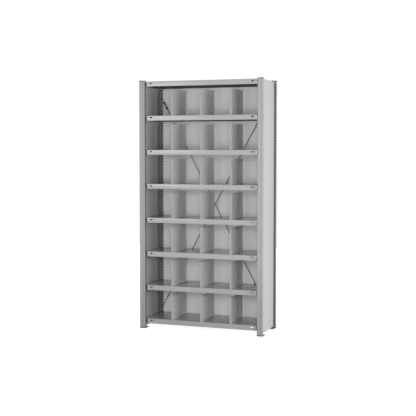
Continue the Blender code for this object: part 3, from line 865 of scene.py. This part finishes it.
def screw_mesh():
    """A pan head on z = 0 with a cross recess."""
    profile = [(SCREW_RADIUS * out, SCREW_HEAD * up) for out, up in SCREW_PROFILE]
    head = lathed("screw", profile, 20)
    for turn in (0, math.pi / 2):
        arm = bmesh.new()
        size = Matrix.Rotation(turn, 4, "Z") @ Matrix.Diagonal((*RECESS_ARM, 1))
        bmesh.ops.create_cube(arm, size=1, matrix=Matrix.Translation((0, 0, SCREW_HEAD)) @ size)
        head = combined(head, "DIFFERENCE", mesh_of("recess", arm))
    return head


def facing(normal):
    """Turns +z to this direction."""
    return Vector((0, 0, 1)).rotation_difference(Vector(normal)).to_matrix().to_4x4()


# Cross brace

def along_rod(side, y):
    """The rod's frame: origin on the upper bolt, +z down the rod, +y to the rear."""
    upper = Vector((side * BRACE_X, y, BRACE_TOP))
    lower = Vector((-side * BRACE_X, y, BRACE_BOTTOM))
    down = (lower - upper).normalized()
    rear = Vector((0, 1, 0))
    axes = Matrix((rear.cross(down), rear, down)).transposed().to_4x4()
    return Matrix.Translation(upper) @ axes, (lower - upper).length


def eye_mesh():
    """The rod's end bent round into a ring, in the xz plane."""
    shape = bmesh.new()
    ring, sides = 32, 12
    rows = []
    for turn in range(ring):
        spin = Matrix.Rotation(math.tau * turn / ring, 3, "Y")
        row = []
        for side in range(sides):
            angle = math.tau * side / sides
            out = EYE_RADIUS - EYE_WIRE + EYE_WIRE * math.cos(angle)
            row.append(shape.verts.new(spin @ Vector((out, EYE_WIRE * math.sin(angle), 0))))
        rows.append(row)
    for index, row in enumerate(rows):
        walled(shape, row, rows[(index + 1) % ring])
    bmesh.ops.recalc_face_normals(shape, faces=shape.faces)
    return mesh_of("eye", shape)


def threaded_mesh(length):
    """A plain shank up z from 0 that ends in a right-hand thread."""
    plain = length - THREADED
    shape = bmesh.new()
    heights = [0, plain * 0.999, plain]
    steps = int(THREADED / THREAD_PITCH * THREAD_ROWS)
    heights += [plain + THREADED * (step + 1) / steps for step in range(steps)]
    rings = []
    for height in heights:
        ring = []
        for side in range(THREAD_SIDES):
            turn = side / THREAD_SIDES
            angle = math.tau * side / THREAD_SIDES
            radius = ROD_RADIUS
            if plain < height < length - THREAD_PITCH / 2:
                phase = ((height - plain) / THREAD_PITCH - turn) % 1
                radius = ROD_RADIUS - THREAD_DEPTH * (1 - abs(2 * phase - 1))
            place = (radius * math.cos(angle), radius * math.sin(angle), height)
            ring.append(shape.verts.new(place))
        rings.append(ring)
    for low, high in zip(rings, rings[1:]):
        walled(shape, low, high)
    shape.faces.new(list(reversed(rings[0])))
    shape.faces.new(rings[-1])
    return mesh_of("shank", shape)


def rod_mesh(length):
    """The eye about the origin, and the shank up z from it."""
    start = EYE_RADIUS - EYE_WIRE
    shank = moved(threaded_mesh(length - start), Matrix.Translation((0, 0, start)))
    return gathered("rod", [eye_mesh(), shank])


def buckle_mesh():
    """An open forged frame along z with a round boss at each end."""
    end, edge = BUCKLE_LENGTH / 2, BUCKLE_WIDTH / 2
    opening, gap = end - BUCKLE_BOSS_LENGTH, edge - BUCKLE_BAR
    outside = bent(boxed(edge, end, BUCKLE_WIDTH / 3), 6)
    window = bent(boxed(gap, opening, gap * 0.9), 6)
    depth = BUCKLE_THICKNESS / 2
    forging = moulded("buckle", [outside, window], -depth, depth, BUCKLE_ROUNDING)
    forging.transform(Matrix.Rotation(math.pi / 2, 4, "X"))
    radius, rim = BUCKLE_BOSS_RADIUS, BUCKLE_ROUNDING
    inner, outer = opening + CLEARANCE, end + BUCKLE_BOSS_PAST
    profile = [(0, inner), (radius - rim, inner), (radius, inner + rim)]
    profile += [(radius, outer - rim), (radius - rim, outer), (0, outer)]
    for turn in (0, math.pi):
        boss = lathed("boss", profile, 24)
        boss.transform(Matrix.Rotation(turn, 4, "X"))
        forging = combined(forging, "UNION", boss)
    reach, hole = end + BUCKLE_BORE_PAST, ROD_RADIUS + CLEARANCE
    bore = [(0, -reach), (hole, -reach), (hole, reach), (0, reach)]
    return combined(forging, "DIFFERENCE", lathed("bore", bore, 24))


def hexagon(height):
    """A hexagon head or nut up z from 0, its upper corners chamfered."""
    radius, chamfer = BOLT_HEAD_RADIUS, HEXAGON_CHAMFER
    turns = [math.tau * side / 6 for side in range(6)]
    outline = [(radius * math.cos(turn), radius * math.sin(turn)) for turn in turns]
    prism = moulded("hexagon", [outline], -MM, height + MM, CLEARANCE)
    cone = [(0, 0), (radius, 0), (radius, height - chamfer)]
    cone += [(radius - chamfer, height), (0, height)]
    return combined(prism, "INTERSECT", lathed("cone", cone, 36))


def bolt_mesh(rod_y):
    """A bolt along y through the rod's eye and the post's shoulder, origin in the eye."""
    half = EYE_THICKNESS / 2
    shoulder = SHOULDER_Y - rod_y
    nut = shoulder + POST_SHEET + CLEARANCE
    tip = nut + BOLT_END
    shank = [(0, -tip), (BOLT_RADIUS - MM, -tip), (BOLT_RADIUS, MM - tip)]
    shank += [(BOLT_RADIUS, half), (0, half)]
    meshes = [
        moved(hexagon(BOLT_HEAD), Matrix.Translation((0, 0, half + CLEARANCE))),
        lathed("shank", shank, 20),
        moved(hexagon(NUT_HEIGHT), Matrix.Translation((0, 0, -nut - NUT_HEIGHT))),
    ]
    if shoulder - half > WASHER_GAP:
        hole, rim = BOLT_RADIUS, BOLT_HEAD_RADIUS
        ring = [(hole, 0), (rim, 0), (rim, WASHER), (hole, WASHER), (hole, 0)]
        washer = lathed("washer", ring, 28)
        for number in range(WASHER_COUNT):
            height = half + number * WASHER_STEP + WASHER
            meshes.append(moved(washer, Matrix.Translation((0, 0, -height))))
    return moved(gathered("bolt", meshes), facing((0, -1, 0)))


# Assembly

post = shaded(post_mesh())
cap, foot = shaded(cap_mesh()), shaded(foot_mesh())
clip = clip_mesh()
seats = [deck_top - POST_BASE - RAIL_HEIGHT - CLEARANCE for deck_top in DECK_TOPS]
for end_name, end in ENDS.items():
    for side_name, side in SIDES.items():
        where = f"{end_name}_{side_name}"
        stand = at_corner(side, end, POST_BASE)
        piece(
            f"upright_{where}",
            post,
            POST_PAINT,
            [f"post_{where}"],
            stand,
            # its inside is near-black painted shade
            inside=POST_INSIDE_SHADE,
        )
        top = at_corner(side, end, POST_TOP + CLEARANCE)
        nodes = [f"post_cap_{where}"]
        piece(f"cap_{where}", cap, SHOE_PLASTIC, nodes, top)
        bottom = at_corner(side, end, 0)
        nodes = [f"foot_plate_{where}"]
        piece(f"foot_{where}", foot, SHOE_PLASTIC, nodes, bottom)
        inward = Matrix.Scale(-1, 4, (1, 0, 0)) if side * end < 0 else Matrix.Identity(4)
        hung = [
            moved(clip, stand @ Matrix.Translation((0, 0, seat)) @ inward) for seat in seats
        ]
        piece(f"shelf_clips_{where}", shaded(gathered("clips", hung)), CLIP_ZINC)

shelf, divider = shaded(shelf_mesh()), shaded(divider_mesh())
for level, deck_top in enumerate(DECK_TOPS):
    piece(
        f"shelf_panel_{level + 1}",
        shelf,
        SHELF_PAINT,
        [f"shelf_{level + 1}"],
        Matrix.Translation((0, 0, deck_top)),
        # its underside is dark painted shade
        inside=SHELF_UNDERSIDE_SHADE,
    )
    if level == SHELF_COUNT - 1:
        continue
    for number in range(1, BAY_COUNT):
        x = (number - BAY_COUNT / 2) * POST_SPACING / BAY_COUNT
        label = f"{level + 1}_{number}"
        piece(
            f"divider_panel_{label}",
            divider,
            DIVIDER_PAINT_AND_LIGHT,
            [f"divider_{label}"],
            Matrix.Translation((x, 0, deck_top + CLEARANCE)),
        )

screw = screw_mesh()
web_y = POST_Y - WEB_MIDDLE
for side_name, side in SIDES.items():
    piece(
        f"side_panel_{side_name}",
        shaded(side_mesh(side)),
        SIDE_PAINT,
        [f"side_sheet_{side_name}"],
        # its inside is a darker copy of its paint: painted shade
        inside=SIDE_INNER_SHADE,
    )
    outside = side * (SIDE_X + SIDE_SHEET)
    spots = [
        (outside, y, POST_BASE + row * SLOT_PITCH)
        for y in (-web_y, web_y)
        for row in SCREW_ROWS
    ]
    heads = [moved(screw, Matrix.Translation(place) @ facing((side, 0, 0))) for place in spots]
    piece(f"side_screws_{side_name}", shaded(gathered("screws", heads)), CLIP_ZINC)

seam = DECK_TOPS[SEAM_LEVEL] - RAIL_HEIGHT / 2
spans = {"lower": (SHEET_BOTTOM, seam - CLEARANCE / 2), "upper": (seam + CLEARANCE / 2, SHEET_TOP)}
for part, (bottom, top) in spans.items():
    back = shaded(back_mesh(bottom, top))
    nodes = [f"back_sheet_{part}"]
    piece(f"back_panel_{part}", back, BACK_PAINT_AND_LIGHT, nodes)
rear = POST_Y + CLEARANCE + BACK_SHEET
spots = [(x, rear, POST_BASE + row * SLOT_PITCH) for x in (-POST_X, POST_X) for row in SCREW_ROWS]
heads = [moved(screw, Matrix.Translation(place) @ facing((0, 1, 0))) for place in spots]
piece("back_screws", shaded(gathered("screws", heads)), CLIP_ZINC)

buckle = shaded(buckle_mesh())
inside = BUCKLE_LENGTH / 2 - BUCKLE_BOSS_LENGTH - THREAD_SHOWING
for brace, side, rod_y in (("front", -1, FRONT_ROD_Y), ("rear", 1, REAR_ROD_Y)):
    line, length = along_rod(side, rod_y)
    far_end = line @ Matrix.Translation((0, 0, length)) @ Matrix.Rotation(math.pi, 4, "Y")
    rods = {
        "upper": (BUCKLE_FROM_BOLT - inside, line),
        "lower": (length - BUCKLE_FROM_BOLT - inside, far_end),
    }
    for where, (reach, stand) in rods.items():
        rod = shaded(rod_mesh(reach))
        nodes = [f"brace_rod_{brace}_{where}"]
        piece(f"tension_rod_{brace}_{where}", rod, ROD_STEEL, nodes, stand)
    middle = line @ Matrix.Translation((0, 0, BUCKLE_FROM_BOLT))
    name = f"turnbuckle_{brace}"
    piece(
        f"forged_{name}",
        buckle,
        BUCKLE_STEEL,
        [name],
        middle,
        body=name,
    )
    bolt = shaded(bolt_mesh(rod_y))
    ends = {"upper": (side * BRACE_X, BRACE_TOP), "lower": (-side * BRACE_X, BRACE_BOTTOM)}
    for where, (x, z) in ends.items():
        nodes = [f"brace_bolt_{brace}_{where}"]
        hole = Matrix.Translation((x, rod_y, z))
        piece(f"fixing_{brace}_{where}", bolt, BOLT_STEEL, nodes, hole)


# Studio and camera

def shown(nodes, plain, to_camera):
    """The first grey to diffuse light, the second to the camera and in reflections."""
    camera, glossy, transmitted = [
        nodes.add("ShaderNodeLightPath", output=f"Is {kind} Ray")
        for kind in ("Camera", "Glossy", "Transmission")
    ]
    return nodes.mix(camera + glossy + transmitted, plain, to_camera)


def studio_world():
    """White behind the unit, with little light of its own."""
    world = bpy.data.worlds.new("studio")
    bpy.context.scene.world = world
    nodes = Nodes(world)
    nodes.feed(nodes.tree.nodes["Background"].inputs["Color"], shown(nodes, AMBIENT, 1.0))


def studio_floor():
    """A pale floor that shows white but for the unit's shadow, which ends before its edge."""
    finish = Finish("studio_floor", Roughness=0.9, Specular_IOR_Level=0.0, Emission_Strength=1.0)
    finish.feed(finish.shader.inputs["Base Color"], finish.grey(FLOOR_GREY))
    length = {"operation": "LENGTH"}
    away = finish.add("ShaderNodeVectorMath", length, {0: finish.place()}, output="Value")
    glow = finish.mix(finish.step(away, SHADOW_REACH / 3, SHADOW_REACH), FLOOR_GLOW, 1.0)
    finish.feed(finish.shader.inputs["Emission Color"], shown(finish, 0.0, glow))
    shape = bmesh.new()
    bmesh.ops.create_grid(shape, x_segments=1, y_segments=1, size=FLOOR_HALF)
    floor = bpy.data.objects.new("studio_floor", mesh_of("studio_floor", shape))
    floor.data.materials.append(finish.material)
    bpy.context.scene.collection.objects.link(floor)


def softbox(name, place, size, power):
    """A rectangular lamp turned to the unit."""
    data = bpy.data.lights.new(name, "AREA")
    data.shape = "RECTANGLE"
    data.size, data.size_y = size
    data.energy = power
    lamp = bpy.data.objects.new(name, data)
    bpy.context.scene.collection.objects.link(lamp)
    lamp.location = place
    toward = Vector(LAMP_AIM) - Vector(place)
    lamp.rotation_euler = toward.to_track_quat("-Z", "Y").to_euler()


studio_world()
studio_floor()
for lamp_name, place, size, power in SOFTBOXES:
    softbox(lamp_name, place, size, power)

view = bpy.data.cameras.new("camera")
view.sensor_width = SENSOR
view.lens = FOCAL_PIXELS / PHOTO_SIDE * SENSOR
view.shift_y = CAMERA_SHIFT
camera = bpy.data.objects.new("camera", view)
camera.location = CAMERA_PLACE
camera.rotation_euler = (math.pi / 2 - CAMERA_PITCH, 0, CAMERA_YAW)
bpy.context.scene.collection.objects.link(camera)
bpy.context.scene.camera = camera
bpy.context.scene.view_settings.view_transform = "Standard"
